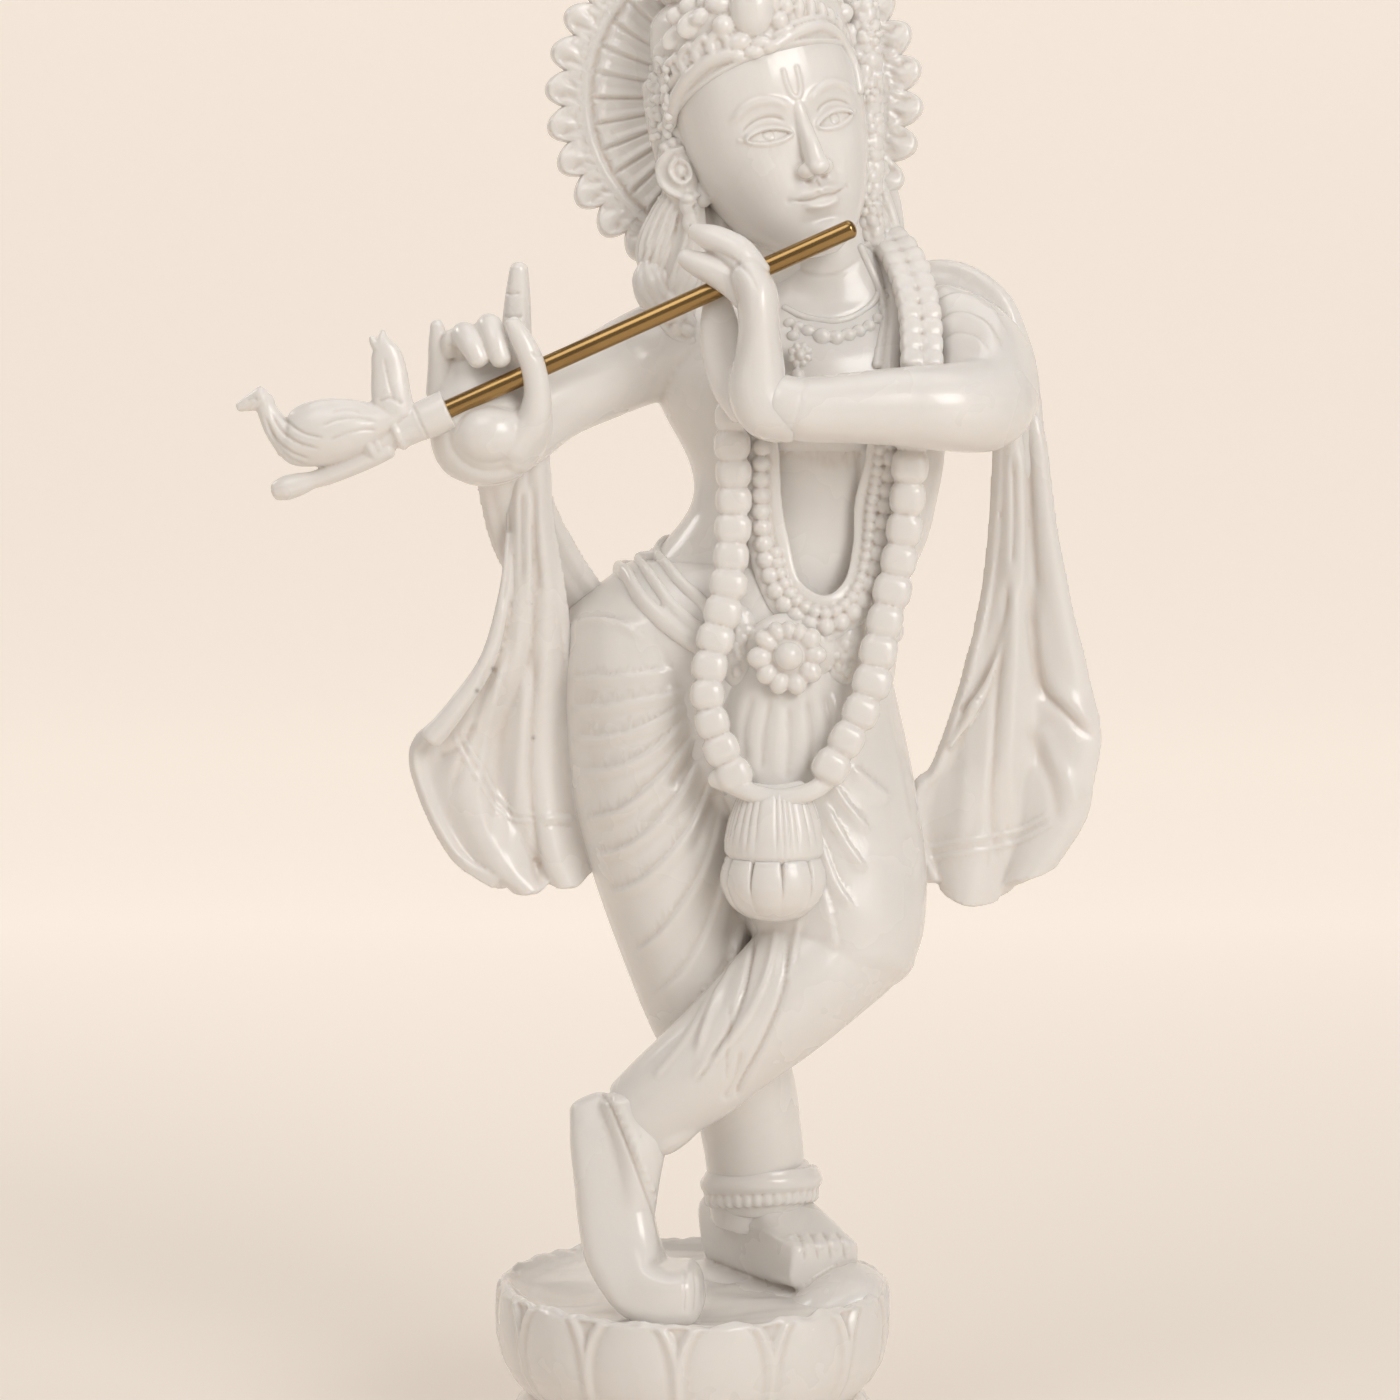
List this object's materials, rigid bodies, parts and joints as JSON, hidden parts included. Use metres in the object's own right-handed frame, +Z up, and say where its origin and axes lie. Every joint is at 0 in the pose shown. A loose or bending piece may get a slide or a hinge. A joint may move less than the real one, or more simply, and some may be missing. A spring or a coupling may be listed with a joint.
{
  "type": "krishna figure",
  "caption": "Standing flute player in white marble, crossed legs, hanging scarf ends and pleated halo, carved in one with a round lotus plinth; separate brass flute with a marble bird finial.",
  "frame": {"origin": "centre of the plinth's round underside", "axes": "+Z up through the plinth towards the crest of the crown, the figure faces -Y, +X to the viewer's right"},
  "size_m": [0.323, 0.152, 0.61],
  "materials": {
    "white_marble": "polished white marble with a warm cast and faint grey veins",
    "polished_brass": "polished, darkened to a brown gold"
  },
  "bodies": {
    "root": {"figure": "white_marble", "flute_rod": "polished_brass", "flute_bird": "white_marble"}
  },
  "joints": []
}
